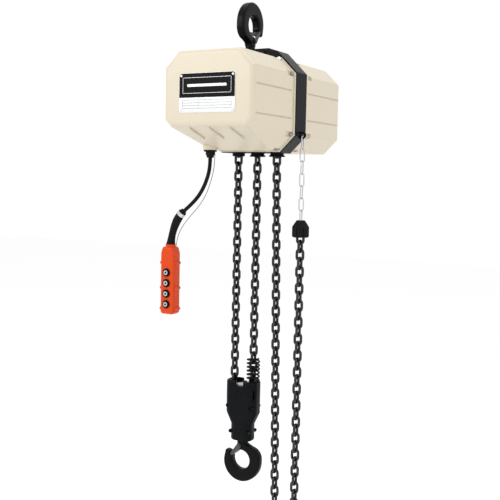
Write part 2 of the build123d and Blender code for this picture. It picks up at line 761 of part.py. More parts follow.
# ---------------------------------------------------------------- hooks
def make_hook(shank_end):
    """A forged hook about its seat's centre: shank along +Y, throat towards -X, flat along Z.

    shank_end is how far the shank reaches from the seat's centre.
    """
    seat = hook_seat_radius
    crown = hook_seat_radius + hook_crown
    half = hook_shank / 2
    throat_top = (-seat * sin(radians(12)), seat * cos(radians(12)))
    throat_low = (-seat * cos(radians(12)), seat * sin(radians(12)))
    tip_inner = (-seat - 8, 19)
    tip_outer = (-seat - 21, 22)
    flank = (-seat - 25.5, 0)
    shoulder = (seat + 30, 6)
    nape = (seat + 5, hook_neck - 4)
    collar = (half, hook_neck + 4)
    neck_top = hook_neck + 10
    corners = [((-half, hook_neck), 6), (throat_top, 5), (throat_low, 6), (tip_inner, 4.5),
               (tip_outer, 4.5), (flank, 20), (shoulder, 5), (nape, 8), (collar, 8)]
    with BuildPart() as hook:
        with BuildSketch() as outline:
            with BuildLine():
                Polyline((half, neck_top), (-half, neck_top), (-half, hook_neck), throat_top)
                ThreePointArc(throat_top, (seat * cos(radians(45)), seat * sin(radians(45))),
                              (0, -seat))
                ThreePointArc((0, -seat), (-seat * cos(radians(45)), -seat * sin(radians(45))),
                              throat_low)
                Polyline(throat_low, tip_inner, tip_outer, flank)
                ThreePointArc(flank, (-0.62 * crown, -0.74 * crown), (2, -crown))
                ThreePointArc((2, -crown), (0.715 * crown, -0.655 * crown), (seat + 30, 0))
                Line((seat + 30, 0), shoulder)
                TangentArc(shoulder, nape, tangent=(0, 1))
                Polyline(nape, collar, (half, neck_top))
            make_face()
            for corner, radius in corners:
                fillet(outline.vertices().sort_by_distance(Vector(*corner))[0], radius)
        extrude(amount=hook_thickness / 2, both=True)
        rims = hook.faces().filter_by(Axis.Z).edges()
        fillet(rims.sort_by(Axis.Y)[:-2], hook_fillet)
        with BuildSketch(Plane.XZ.offset(-(neck_top - 2))):
            Circle(half)
        extrude(amount=-(shank_end - neck_top + 2))
        with BuildSketch():
            with Locations(hook_pin):
                Circle(latch_pin / 2)
        extrude(amount=hook_thickness, both=True, mode=Mode.SUBTRACT)
    return hook.part


def make_latch():
    """The sprung latch in the hook's own plane: two cheeks across the hook, joined by a web."""
    inner = hook_thickness / 2 + latch_gap
    toe = (hook_pin[0] + latch_reach * cos(radians(latch_angle)),
           hook_pin[1] + latch_reach * sin(radians(latch_angle)))
    with BuildPart() as latch:
        for side in (1, -1):
            with BuildSketch(Plane.XY.offset(side * inner)):
                with Locations(hook_pin):
                    Circle(latch_pin / 2 + 4)
                with Locations(toe):
                    Circle(latch_toe)
                make_hull()
                with Locations(hook_pin):
                    Circle(latch_pin / 2 + shaft_fit, mode=Mode.SUBTRACT)
            extrude(amount=side * latch_thickness)
        web = Plane(origin=(hook_pin[0], hook_pin[1], 0), x_dir=(cos(radians(latch_angle)),
                    sin(radians(latch_angle)), 0), z_dir=(0, 0, 1))
        with BuildSketch(web):
            with Locations((latch_reach, latch_toe - latch_thickness)):
                Rectangle(latch_web, latch_thickness, align=(Align.MAX, Align.MIN))
        extrude(amount=inner, both=True)
    return latch.part


def make_pin():
    half = hook_thickness / 2 + latch_gap + latch_thickness
    with BuildPart() as pin:
        with BuildSketch():
            with Locations(hook_pin):
                Circle(latch_pin / 2)
        extrude(amount=half, both=True)
        for side in (1, -1):
            with BuildSketch(Plane.XY.offset(side * (half + running_gap))):
                with Locations(hook_pin):
                    Circle(latch_pin / 2 + 1.5)
            extrude(amount=side * pin_head)
            with BuildSketch(Plane.XY.offset(side * half)):
                with Locations(hook_pin):
                    Circle(latch_pin / 2)
            extrude(amount=side * running_gap)
    return pin.part


def make_nut(face_z, side):
    """A hex nut with a thrust bearing between it and the face that it bears on.

    side is -1 where the nut hangs under the face and 1 where it sits on top.
    """
    with BuildPart() as bearing:
        with BuildSketch(Plane.XY.offset(face_z + side * running_gap)):
            Circle(nut_across / 2)
            Circle(hook_shank / 2, mode=Mode.SUBTRACT)
        extrude(amount=side * (bearing_depth - running_gap))
        with BuildSketch(Plane.XY.offset(face_z + side * bearing_depth / 2)):
            Circle(nut_across)
            Circle(nut_across / 2 - 1, mode=Mode.SUBTRACT)
        extrude(amount=0.5, both=True, mode=Mode.SUBTRACT)
    with BuildPart() as nut:
        with BuildSketch(Plane.XY.offset(face_z + side * bearing_depth)):
            RegularPolygon(nut_across / 2, 6, major_radius=False)
            Circle(hook_shank / 2, mode=Mode.SUBTRACT)
        extrude(amount=side * nut_height)
    return bearing.part, nut.part


top_hook_plane = Plane(origin=(0, 0, -hook_seat_radius), x_dir=(0, -1, 0), z_dir=(1, 0, 0))
load_hook_plane = along_y(0, block_bottom - block_hook_drop)
shank_past_nut = bearing_depth + nut_height + 2
top_shank = -hook_seat_radius - yoke_bottom + shank_past_nut
load_shank = block_hook_drop + block_floor + shank_past_nut
top_thrust_bearing, top_hook_nut = make_nut(yoke_bottom, -1)
load_thrust_bearing, load_hook_nut = make_nut(block_bottom + block_floor, 1)
latch_pins = make_pin()
for name, piece in (("top_hook", top_hook_plane.location * make_hook(top_shank)),
                    ("top_thrust_bearing", top_thrust_bearing),
                    ("top_hook_nut", top_hook_nut),
                    ("top_latch", top_hook_plane.location * make_latch()),
                    ("top_latch_pin", top_hook_plane.location * latch_pins),
                    ("load_hook", load_hook_plane.location * make_hook(load_shank)),
                    ("load_thrust_bearing", load_thrust_bearing),
                    ("load_hook_nut", load_hook_nut),
                    ("load_latch", load_hook_plane.location * make_latch()),
                    ("load_latch_pin", load_hook_plane.location * latch_pins)):
    piece.label = name
    export_step(piece, f"parts/{name}.step")


# ---------------------------------------------------------------- bottom block
with BuildPart() as block_body:
    shoulder_z = idle_axis_z - block_shoulder
    with BuildSketch(Plane.XY.offset(shoulder_z)):
        RectangleRounded(block_width, block_depth, block_corner)
    extrude(amount=block_top - shoulder_z)
    with BuildSketch(Plane.XY.offset(shoulder_z)):
        RectangleRounded(block_width, block_depth, block_corner)
    with BuildSketch(Plane.XY.offset(shoulder_z - block_taper)):
        RectangleRounded(block_neck, block_neck_depth, block_corner)
    loft()
    with BuildSketch(Plane.XY.offset(block_bottom)):
        RectangleRounded(block_neck, block_neck_depth, block_corner)
    extrude(amount=block_barrel)
    fillet(block_body.edges().group_by(Axis.Z)[-1], block_round)
    fillet(block_body.edges().group_by(Axis.Z)[0], block_round)
    # the wheel's chamber and the two falls' way in
    with BuildSketch(Plane.XZ):
        with Locations((0, idle_axis_z)):
            Circle(chamber_radius)
    extrude(amount=sheave_width / 2 + chamber_gap, both=True, mode=Mode.SUBTRACT)
    with BuildSketch(Plane.XY.offset(idle_axis_z)):
        SlotOverall(2 * (fall_offset + guide_bore), 2 * guide_bore)
    extrude(amount=block_above, mode=Mode.SUBTRACT)
    with BuildSketch(Plane.XZ):
        with Locations((0, block_top)):
            Rectangle(block_notch, 2 * block_notch_depth)
        with Locations((0, idle_axis_z)):
            Circle(block_axle / 2)
        with Locations(*block_bolt_places):
            Circle(block_bolt / 2)
    extrude(amount=block_depth, both=True, mode=Mode.SUBTRACT)
    # the hook's nut and bearing in the barrel
    with BuildSketch(Plane.XY.offset(block_bottom)):
        Circle(hook_shank / 2 + shank_fit)
    extrude(amount=block_floor, mode=Mode.SUBTRACT)
    with BuildSketch(Plane.XY.offset(block_bottom + block_floor)):
        Circle(nut_across / 2 / cos(radians(30)) + nut_clear)
    extrude(amount=shank_past_nut + nut_clear, mode=Mode.SUBTRACT)
    for side in (1, -1):
        with BuildSketch(Plane.XZ.offset(side * block_seat)):
            with Locations(*block_bolt_places):
                Circle(block_bolt_head / 2 + nut_clear)
        extrude(amount=side * block_depth, mode=Mode.SUBTRACT)

for name, side in (("block_front_shell", Keep.TOP), ("block_rear_shell", Keep.BOTTOM)):
    shell = split(block_body.part, Plane.XZ, keep=side)
    shell.label = name
    export_step(shell, f"parts/{name}.step")

with BuildPart() as block_bolts:
    with BuildSketch(Plane.XZ):
        with Locations(*block_bolt_places):
            Circle(block_bolt / 2)
    extrude(amount=block_seat, both=True)
    with BuildSketch(Plane.XZ.offset(block_seat)):
        with Locations(*block_bolt_places):
            Circle(block_bolt_head / 2)
    extrude(amount=block_bolt_head_height)
    with BuildSketch(Plane.XZ.offset(block_seat + block_bolt_head_height)):
        with Locations(*block_bolt_places):
            RegularPolygon(block_bolt_head / 4, 6)
    extrude(amount=-block_bolt_head_height / 2, mode=Mode.SUBTRACT)
    with BuildSketch(Plane.XZ.offset(-block_seat)):
        with Locations(*block_bolt_places):
            RegularPolygon(block_bolt_head / 2, 6)
    extrude(amount=-block_bolt_head_height)
block_bolts.part.label = "block_bolts"
export_step(block_bolts.part, "parts/block_bolts.step")

with BuildPart() as idle_axle:
    with BuildSketch(Plane.XZ):
        with Locations((0, idle_axis_z)):
            Circle(block_axle / 2)
    extrude(amount=block_depth / 2, both=True)
    chamfer(idle_axle.edges(), axle_chamfer)
idle_axle.part.label = "idle_axle"
export_step(idle_axle.part, "parts/idle_axle.step")

idle_sheave = chain_wheel(0, idle_axis_z, block_axle / 2 + shaft_fit)
idle_sheave.label = "idle_sheave"
export_step(idle_sheave, "parts/idle_sheave.step")

# the buffer spring stands on the block, round the live fall
with BuildPart() as buffer_spring:
    with BuildLine() as coil:
        Helix((spring_length - spring_wire) / spring_turns, spring_length - spring_wire,
              (spring_diameter - spring_wire) / 2,
              center=(fall_offset, 0, block_top + spring_wire / 2))
    with BuildSketch(Plane(origin=coil.line @ 0, z_dir=coil.line % 0)):
        Circle(spring_wire / 2)
    sweep()
buffer_spring.part.label = "buffer_spring"
export_step(buffer_spring.part, "parts/buffer_spring.step")


# ---------------------------------------------------------------- drive
def gear_outline(module, teeth, phase):
    """Stub involute teeth round the origin, with the first tooth's middle at phase in degrees."""
    pitch_radius = module * teeth / 2
    base_radius = pitch_radius * cos(radians(pressure_angle))
    root = pitch_radius - module * tooth_root
    tip = pitch_radius + module * tooth_tip
    half_tooth = pi / (2 * teeth) - gear_backlash / (4 * pitch_radius)

    def involute(angle):
        return tan(angle) - angle

    def half_angle(radius):
        """Half the tooth's thickness at a radius, as an angle about the gear's axis."""
        slope = acos(min(1.0, base_radius / radius))
        return half_tooth + involute(radians(pressure_angle)) - involute(slope)

    points = []
    for tooth in range(teeth):
        middle = radians(phase) + 2 * pi * tooth / teeth
        for side in (-1, 1):
            flank = [root, max(root, base_radius) + 0.01, pitch_radius, tip]
            for radius in flank if side < 0 else reversed(flank):
                angle = middle + side * half_angle(radius)
                points.append((radius * cos(angle), radius * sin(angle)))
    return points


def gear_sketch(x, z, module, teeth, phase):
    with Locations((x, z)):
        Polygon(*gear_outline(module, teeth, phase), align=None)


# each pair is in mesh: a tooth of the one stands in a gap of the other on the line of centres
to_wheel = degrees(wheel_angle)
to_load = degrees(atan2(load_axis_z - wheel_z, load_axis_x - wheel_x))
motor_pinion_phase = to_wheel
wheel_phase = to_wheel + 180 + 180 / wheel_teeth
wheel_pinion_phase = to_load
load_phase = to_load + 180 + 180 / load_teeth

with BuildPart() as intermediate_gear:
    with BuildSketch(Plane.XZ.offset(first_stage)):
        gear_sketch(wheel_x, wheel_z, motor_module, wheel_teeth, wheel_phase)
    extrude(amount=gear_width)
    with BuildSketch(Plane.XZ.offset(first_stage + gear_width)):
        gear_sketch(wheel_x, wheel_z, load_module, pinion_teeth, wheel_pinion_phase)
    extrude(amount=gear_gap + gear_width)
    with BuildSketch(Plane.XZ.offset(frame_face - axle_socket + running_gap)):
        with Locations((wheel_x, wheel_z)):
            Circle(wheel_axle / 2)
    extrude(amount=axle_socket + gear_room + axle_end - 2 * running_gap)
intermediate_gear.part.label = "intermediate_gear"
export_step(intermediate_gear.part, "parts/intermediate_gear.step")

with BuildPart() as load_gear:
    with BuildSketch(Plane.XZ.offset(second_stage)):
        gear_sketch(load_axis_x, load_axis_z, load_module, load_teeth, load_phase)
        with Locations((load_axis_x, load_axis_z)):
            Circle(sheave_shaft / 2, mode=Mode.SUBTRACT)
            with PolarLocations(load_module * load_teeth / 3.4, 6):
                Circle(lightening / 2, mode=Mode.SUBTRACT)
    extrude(amount=gear_width)
load_gear.part.label = "load_gear"
export_step(load_gear.part, "parts/load_gear.step")

load_sheave_body = chain_wheel(load_axis_x, load_axis_z, 0)
with BuildPart() as load_sheave:
    add(load_sheave_body)
    with BuildSketch(Plane.XZ.offset(-frame_face + running_gap)):
        with Locations((load_axis_x, load_axis_z)):
            Circle(sheave_shaft / 2)
    extrude(amount=frame_face + second_stage + gear_width)
load_sheave.part.label = "load_sheave"
export_step(load_sheave.part, "parts/load_sheave.step")

with BuildPart() as sheave_bearings:
    for side in (1, -1):
        with BuildSketch(Plane.XZ.offset(side * frame_face)):
            with Locations((load_axis_x, load_axis_z)):
                Circle(bearing_ring / 2)
                Circle(sheave_shaft / 2 + shaft_fit, mode=Mode.SUBTRACT)
        extrude(amount=-side * bearing_width)
sheave_bearings.part.label = "sheave_bearings"
export_step(sheave_bearings.part, "parts/sheave_bearings.step")

def case_circles(room):
    """Circles round the three gears; their hull is the gear case."""
    for x, z, teeth, module in ((load_axis_x, load_axis_z, load_teeth, load_module),
                                (wheel_x, wheel_z, wheel_teeth, motor_module),
                                (motor_x, motor_z, pinion_teeth, motor_module)):
        with Locations((x, z)):
            Circle(module * (teeth / 2 + tooth_tip) + room)


with BuildPart() as gear_case:
    with BuildSketch(Plane.XZ.offset(frame_face)):
        case_circles(gear_wall + gear_gap)
        make_hull()
    extrude(amount=gear_room + gear_wall)
    with BuildSketch(Plane.XZ.offset(frame_face)):
        case_circles(gear_gap)
        make_hull()
    extrude(amount=gear_room, mode=Mode.SUBTRACT)
    with BuildSketch(Plane.XZ.offset(frame_face + gear_room)):
        with Locations((wheel_x, wheel_z)):
            Circle(wheel_axle / 2 + shaft_fit)
    extrude(amount=axle_end, mode=Mode.SUBTRACT)
gear_case.part.label = "gear_case"
export_step(gear_case.part, "parts/gear_case.step")

with BuildPart() as motor_rotor:
    with BuildSketch(Plane.XZ.offset(first_stage)):
        gear_sketch(motor_x, motor_z, motor_module, pinion_teeth, motor_pinion_phase)
    extrude(amount=gear_width)
    for start, stop, radius in ((first_stage, -motor_start, motor_neck / 2),
                                (-motor_start, -fan_end, motor_shaft / 2),
                                (-core_start, -core_start - motor_length, motor_bore / 2 - air_gap)):
        with BuildSketch(Plane.XZ.offset(start)):
            with Locations((motor_x, motor_z)):
                Circle(radius)
        extrude(amount=stop - start)
motor_rotor.part.label = "motor_rotor"
export_step(motor_rotor.part, "parts/motor_rotor.step")

def motor_ring(outside, inside, start, stop, mode=Mode.ADD):
    """A ring about the motor's axis between two places along Y."""
    with BuildSketch(Plane.XZ.offset(-start)) as ring:
        with Locations((motor_x, motor_z)):
            Circle(outside / 2)
            Circle(inside / 2, mode=Mode.SUBTRACT)
    extrude(ring.sketch, amount=start - stop, mode=mode)


with BuildPart() as motor_stator:
    shell_inside = motor_diameter - 2 * motor_wall
    motor_ring(motor_diameter, shell_inside, frame_face, motor_end)
    motor_ring(shell_inside, motor_bore, core_start, core_start + motor_length)
    motor_ring(shell_inside, motor_shaft + 2 * shaft_fit, motor_end - motor_wall, motor_end)
motor_stator.part.label = "motor_stator"
export_step(motor_stator.part, "parts/motor_stator.step")

coil_end = motor_end + brake_length
armature_start = coil_end + brake_gap
disc_start = armature_start + brake_plate + running_gap
with BuildPart() as brake_coil:
    motor_ring(brake_diameter, brake_bore, motor_end, coil_end)
    motor_ring(brake_diameter - 20, brake_bore + 20, coil_end - brake_length / 2, coil_end,
               Mode.SUBTRACT)
brake_coil.part.label = "brake_coil"
export_step(brake_coil.part, "parts/brake_coil.step")

with BuildPart() as brake_armature:
    motor_ring(brake_diameter, brake_bore, armature_start, armature_start + brake_plate)
brake_armature.part.label = "brake_armature"
export_step(brake_armature.part, "parts/brake_armature.step")

with BuildPart() as brake_disc:
    motor_ring(brake_diameter - 6, motor_shaft, disc_start, disc_start + brake_plate)
brake_disc.part.label = "brake_disc"
export_step(brake_disc.part, "parts/brake_disc.step")

with BuildPart() as cooling_fan:
    motor_ring(fan_hub, motor_shaft, fan_start, fan_start + fan_width)
    motor_ring(fan_diameter, motor_shaft, fan_start, fan_start + fan_blade)
    with BuildSketch(Plane.XZ.offset(-fan_start)):
        with Locations((motor_x, motor_z)):
            with PolarLocations((fan_hub + fan_diameter) / 4, fan_blades):
                Rectangle((fan_diameter - fan_hub) / 2 + 2, fan_blade)
            Circle(motor_shaft / 2, mode=Mode.SUBTRACT)
    extrude(amount=-fan_width)
cooling_fan.part.label = "cooling_fan"
export_step(cooling_fan.part, "parts/cooling_fan.step")


# ---------------------------------------------------------------- electrics
def box_on(plate_y, x, z, width, height, depth, mode=Mode.ADD):
    """A block standing on a plane of constant y, towards -Y."""
    with BuildSketch(Plane.XZ.offset(plate_y)) as footprint:
        with Locations((x, z)):
            Rectangle(width, height)
    extrude(footprint.sketch, amount=depth, mode=mode)


plate_face = frame_face + gear_room + gear_wall + panel_gap
with BuildPart() as control_panel:
    box_on(plate_face, body_centre, panel_z, panel_width, panel_height, panel_thickness)
    for corner_x in (-1, 1):
        for corner_z in (-1, 1):
            box_on(plate_face, body_centre + corner_x * panel_width / 2,
                   panel_z + corner_z * panel_height / 2, 16, 16, panel_thickness, Mode.SUBTRACT)
    for side in (-1, 1):
        box_on(plate_face - panel_gap, body_centre + side * panel_foot, panel_z, 14, 30, panel_gap)
control_panel.part.label = "control_panel"
export_step(control_panel.part, "parts/control_panel.step")

panel_face = plate_face + panel_thickness
with BuildPart() as contactors:
    for x in contactor_places:
        box_on(panel_face, x, panel_z, 45, 72, 30)
        box_on(panel_face + 30, x, panel_z, 45, 42, 24)
        box_on(panel_face + 54, x, panel_z, 18, 18, 3)
        for row in (-1, 1):
            for column in (-1, 0, 1):
                box_on(panel_face + 22, x + column * 13, panel_z + row * 31, 8, 14, 8, Mode.SUBTRACT)
contactors.part.label = "contactors"
export_step(contactors.part, "parts/contactors.step")

with BuildPart() as transformer:
    box_on(panel_face, transformer_x, panel_z, 46, 66, 6)
    box_on(panel_face + 6, transformer_x, panel_z, 46, 54, 28)
    box_on(panel_face + 6, transformer_x, panel_z, 32, 34, 42)
    fillet(transformer.edges().filter_by(Axis.Y).sort_by(Axis.Z)[:2], 2)
transformer.part.label = "transformer"
export_step(transformer.part, "parts/transformer.step")

with BuildPart() as limit_switch:
    box_on(frame_face, switch_x, switch_z, 30, 24, 16)
    box_on(frame_face + 4, switch_x, switch_z - 15, 8, 8, 8)
limit_switch.part.label = "limit_switch"
export_step(limit_switch.part, "parts/limit_switch.step")


# ---------------------------------------------------------------- slack side
with BuildPart() as end_stopper:
    with BuildSketch(Plane.XZ):
        with BuildLine():
            Polyline((0, stopper_bottom), (stopper_diameter / 2 - 3, stopper_bottom),
                     (stopper_diameter / 2, stopper_bottom + 3),
                     (stopper_diameter / 2, stopper_top - 16), (stopper_neck, stopper_top),
                     (0, stopper_top), close=True)
        make_face()
    revolve(axis=Axis.Z)
    with BuildSketch(Plane.XY.offset(stopper_bottom)):
        Circle(guide_bore)
    extrude(amount=chain_width / 2 + stopper_under + 1, mode=Mode.SUBTRACT)
    with BuildSketch(Plane.XY.offset(stopper_top)):
        Circle(stopper_neck - 2)
    extrude(amount=-(tie_seat + tie_wire + 1), mode=Mode.SUBTRACT)
    with BuildSketch(Plane.XY.offset(stopper_bottom)):
        with PolarLocations(stopper_diameter / 2, stopper_slots):
            SlotOverall(4, 2.5)
    extrude(amount=stopper_height - 18, mode=Mode.SUBTRACT)
stopper = Pos(slack_end[0], 0, 0) * end_stopper.part
stopper.label = "end_stopper"
export_step(stopper, "parts/end_stopper.step")

tie_link = make_link(tie_pitch, tie_width, tie_wire - link_play, 6)
ties = place_links((slack_end[0], tie_start_z), [-90] * tie_links, 1, tie_link,
                   lambda number: tie_pitch / 2)
tie_chain = Compound(label="tie_chain", children=ties[0])
export_step(tie_chain, "parts/tie_chain.step")


# ---------------------------------------------------------------- control cable and pendant
gland_end_z = gland_seat_z - gland_flange - gland_nut - gland_dome
with BuildPart() as cable_gland:
    with BuildSketch(Plane.XY.offset(gland_seat_z)):
        Circle(gland_thread)
    extrude(amount=gland_boss_height)
    with BuildSketch(Plane.XY.offset(gland_seat_z)):
        Circle(gland_boss - 2)
    extrude(amount=-gland_flange)
    with BuildSketch(Plane.XY.offset(gland_seat_z - gland_flange)):
        RegularPolygon(gland_across / 2, 6, major_radius=False)
    extrude(amount=-gland_nut)
    with BuildSketch(Plane.XY.offset(gland_seat_z - gland_flange - gland_nut)):
        Circle(gland_across / 2 - 1)
    extrude(amount=-gland_dome, taper=14)
    fillet(cable_gland.edges().group_by(Axis.Z)[0], 1.5)
gland = Pos(gland_x, gland_y, 0) * cable_gland.part
gland.label = "cable_gland"
export_step(gland, "parts/cable_gland.step")


def cord(points, diameter, name):
    """A hanging cord: straight runs joined by arcs as large as the runs allow."""
    radii = []
    for before, corner, after in zip(points, points[1:], points[2:]):
        one = Vector(*corner) - Vector(*before)
        two = Vector(*after) - Vector(*corner)
        half_turn = radians(one.get_angle(two)) / 2
        radii.append(0.45 * min(one.length, two.length) / tan(half_turn))
    with BuildPart() as tube:
        with BuildLine() as route:
            FilletPolyline(*points, radius=radii)
        path = route.wire()
        with BuildSketch(Plane(origin=path @ 0, z_dir=path % 0)):
            Circle(diameter / 2)
        sweep(path=path)
    section = pi * diameter ** 2 / 4
    print(name, "length", round(path.length, 1), "mm, radii",
          [round(radius) for radius in radii],
          "volume share", round(tube.part.volume / (section * path.length), 4))
    tube.part.label = name
    export_step(tube.part, f"parts/{name}.step")
    return path


cable_points = [(gland_x, gland_y, gland_end_z), (-52, -98, -378), (-59.5, -98, -407),
                (-74.5, -98, -438), (-98, -98, -466.5), (-127.5, -98, -489.5)]
cable_path = cord(cable_points, cable_diameter, "control_cable")
wire_points = [(-38.5, -98, gland_seat_z - gland_flange), (-38.5, -98, -374), (-47, -98, -408),
               (-61, -98, -445), (-84, -98, -478), (-112, -98, -505), (-135, -98, -533),
               (-147, -98, -560), (-149.5, -98, pendant_top)]
cord(wire_points, wire_diameter, "strain_wire")

with BuildPart() as pendant_boot:
    boot_start = Vector(*cable_points[-1])
    boot_end = Vector(pendant_x, pendant_y, pendant_top + collar_height)
    with BuildLine() as boot_line:
        Bezier(boot_start, boot_start + (cable_path % 1) * boot_bend,
               boot_end + Vector(0, 0, boot_bend), boot_end)
    for share, radius in boot_radii:
        with BuildSketch(Plane(origin=boot_line.line @ share, z_dir=boot_line.line % share)):
            Circle(radius)
    loft()
pendant_boot.part.label = "pendant_boot"
export_step(pendant_boot.part, "parts/pendant_boot.step")

with BuildPart() as boot_clamp:
    with BuildSketch(Plane(origin=boot_line.line @ clamp_share, z_dir=boot_line.line % clamp_share)):
        Circle(clamp_radius)
        Circle(clamp_radius - clamp_wall, mode=Mode.SUBTRACT)
    extrude(amount=clamp_width / 2, both=True)
boot_clamp.part.label = "boot_clamp"
export_step(boot_clamp.part, "parts/boot_clamp.step")


def pendant_outline(inset):
    half = pendant_width / 2 - inset
    top = pendant_top - inset
    bottom = pendant_top - pendant_height + inset
    return [(pendant_x + side * x, z) for side, x, z in
            ((-1, pendant_neck - inset, top), (-1, half, top - pendant_shoulder),
             (-1, half, bottom + pendant_foot), (-1, half - pendant_foot, bottom),
             (1, half - pendant_foot, bottom), (1, half, bottom + pendant_foot),
             (1, half, top - pendant_shoulder), (1, pendant_neck - inset, top))]


def button_places():
    return [(pendant_x, pendant_top - button_first - row * button_pitch) for row in range(4)]


with BuildPart() as pendant_body:
    with BuildSketch(Plane.XZ.offset(-pendant_y)):
        Polygon(*pendant_outline(0), align=None)
    extrude(amount=pendant_depth / 2, both=True)
    fillet(pendant_body.edges().filter_by(GeomType.LINE), pendant_round)
    with BuildSketch(Plane.XZ.offset(-pendant_y)):
        with Locations(*[(pendant_x + side * pendant_width / 2, pendant_top - drop)
                         for side in (-1, 1) for drop in pendant_boss_drops]):
            Circle(pendant_boss)
    extrude(amount=pendant_boss_depth, both=True)
    with BuildSketch(Plane.XY.offset(pendant_top - 2)):
        with Locations((pendant_x, pendant_y)):
            Circle(pendant_collar)
    extrude(amount=collar_height + 2)
    with BuildSketch(Plane.XZ.offset(-pendant_y)):
        Polygon(*pendant_outline(pendant_wall), align=None)
    extrude(amount=pendant_depth / 2 - pendant_wall, both=True, mode=Mode.SUBTRACT)
    with BuildSketch(Plane.XZ.offset(-pendant_y)):
        with Locations(*button_places()):
            Circle(button_diameter / 2 + button_fit)
    extrude(amount=pendant_depth, mode=Mode.SUBTRACT)
for name, side in (("pendant_front", Keep.TOP), ("pendant_back", Keep.BOTTOM)):
    shell = split(pendant_body.part, Plane.XZ.offset(-pendant_y), keep=side)
    shell.label = name
    export_step(shell, f"parts/{name}.step")

pendant_face = -pendant_y + pendant_depth / 2
with BuildPart() as button_bezels:
    with BuildSketch(Plane.XZ.offset(pendant_face)):
        for place in button_places():
            with Locations(place):
                Circle(button_diameter / 2 + button_fit + bezel_wall)
                Circle(button_diameter / 2 + button_fit, mode=Mode.SUBTRACT)
    extrude(amount=bezel_height)
button_bezels.part.label = "button_bezels"
export_step(button_bezels.part, "parts/button_bezels.step")

for name, place in zip(("up_button", "down_button", "left_button", "right_button"),
                       button_places()):
    with BuildPart() as button:
        with BuildSketch(Plane.XZ.offset(pendant_face - pendant_wall - button_fit)):
            with Locations(place):
                Circle(button_diameter / 2)
        extrude(amount=pendant_wall + button_fit + button_proud)
        fillet(button.edges().group_by(Axis.Y)[0], 1.0)
        with BuildSketch(Plane.XZ.offset(pendant_face - pendant_wall - button_fit)):
            with Locations(place):
                Circle(button_diameter / 2 + 2)
        extrude(amount=-button_flange)
    button.part.label = name
    export_step(button.part, f"parts/{name}.step")
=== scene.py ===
import json
import math
import bmesh
import bpy
import numpy as np
from mathutils import Matrix, Vector


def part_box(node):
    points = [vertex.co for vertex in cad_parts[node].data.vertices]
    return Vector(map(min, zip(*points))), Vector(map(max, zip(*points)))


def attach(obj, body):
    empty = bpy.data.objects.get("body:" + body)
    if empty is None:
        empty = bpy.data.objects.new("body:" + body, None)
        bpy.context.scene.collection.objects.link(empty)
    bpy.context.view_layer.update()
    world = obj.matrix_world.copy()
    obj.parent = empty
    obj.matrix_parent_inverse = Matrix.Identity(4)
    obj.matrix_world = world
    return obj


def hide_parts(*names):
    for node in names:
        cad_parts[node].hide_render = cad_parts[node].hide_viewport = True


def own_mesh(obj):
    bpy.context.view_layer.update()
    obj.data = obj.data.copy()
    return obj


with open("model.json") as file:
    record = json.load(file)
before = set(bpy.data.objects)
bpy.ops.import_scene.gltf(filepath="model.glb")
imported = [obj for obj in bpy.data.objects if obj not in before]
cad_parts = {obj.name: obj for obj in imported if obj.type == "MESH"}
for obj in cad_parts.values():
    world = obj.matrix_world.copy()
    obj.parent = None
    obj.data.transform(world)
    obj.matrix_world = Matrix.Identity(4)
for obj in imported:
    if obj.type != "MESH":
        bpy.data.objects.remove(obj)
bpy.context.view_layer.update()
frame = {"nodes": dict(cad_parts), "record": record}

bl_info = {
    "name": "Electric chain hoist",
    "version": (1, 0, 0),
    "blender": (4, 5, 0),
    "location": "3D View > Sidebar > Hoist",
    "description": "Builds the looks of an electric chain hoist round its packed parts",
    "category": "Object",
}

MM = 0.001
WELD_REACH = 1e-6       # corners closer than this are one corner
SAME_PLACE = 2e-6       # grid on which the corners of one solid meet
SHARP_ANGLE = 30        # degrees between faces that keep a real edge
PATCH_SIZE = 35 * MM    # size of the patches of wear in every finish
SMOOTHEST = 0.02        # least roughness of any finish
BUTTONS = ("up_button", "down_button", "left_button", "right_button")
FALLS = ("load_chain_dead_fall", "load_chain_live_fall")
NODES = frame["nodes"]
BODY_OF = {node: body for body, nodes in frame["record"]["behaviour"]["bodies"].items()
           for node in nodes}


def linear(code):
    """A colour from its sRGB hex code, as linear light."""
    values = [int(code[i:i + 2], 16) / 255 for i in (0, 2, 4)]
    return [v / 12.92 if v <= 0.04045 else ((v + 0.055) / 1.055) ** 2.4 for v in values] + [1]


# ---------------------------------------------------------------- settings
class ChainSettings(bpy.types.PropertyGroup):
    """Sizes of the load chain's links"""
    pitch: bpy.props.FloatProperty(name="Pitch", description="Inside length of a link",
                                   default=21 * MM, unit="LENGTH")
    width: bpy.props.FloatProperty(name="Width", description="Outside width of a link",
                                   default=23.9 * MM, unit="LENGTH")
    wire: bpy.props.FloatProperty(name="Wire", description="Diameter of the link's wire",
                                  default=6.96 * MM, unit="LENGTH")
    tie_wire: bpy.props.FloatProperty(name="Tie wire", default=3.2 * MM, unit="LENGTH",
                                      description="Diameter of the tie chain's wire")
    steps: bpy.props.IntProperty(name="Steps", description="Sides of the round wire",
                                 default=12, min=6, max=32)


class FinishSettings(bpy.types.PropertyGroup):
    """Colours of the painted and moulded pieces"""
    cover: bpy.props.FloatVectorProperty(name="Cover paint", subtype="COLOR", size=3,
                                         description="Colour of the two covers",
                                         default=linear("C6BBA5")[:3])
    frame: bpy.props.FloatVectorProperty(name="Frame paint", subtype="COLOR", size=3,
                                         description="Colour of the frame, yoke and block",
                                         default=linear("0D0E11")[:3])
    pendant: bpy.props.FloatVectorProperty(name="Pendant", subtype="COLOR", size=3,
                                           description="Colour of the pendant's shell",
                                           default=linear("C93F0D")[:3])
    edge: bpy.props.FloatProperty(name="Edge radius", default=2.2 * MM, unit="LENGTH",
                                  description="How softly the edges of the castings shade")


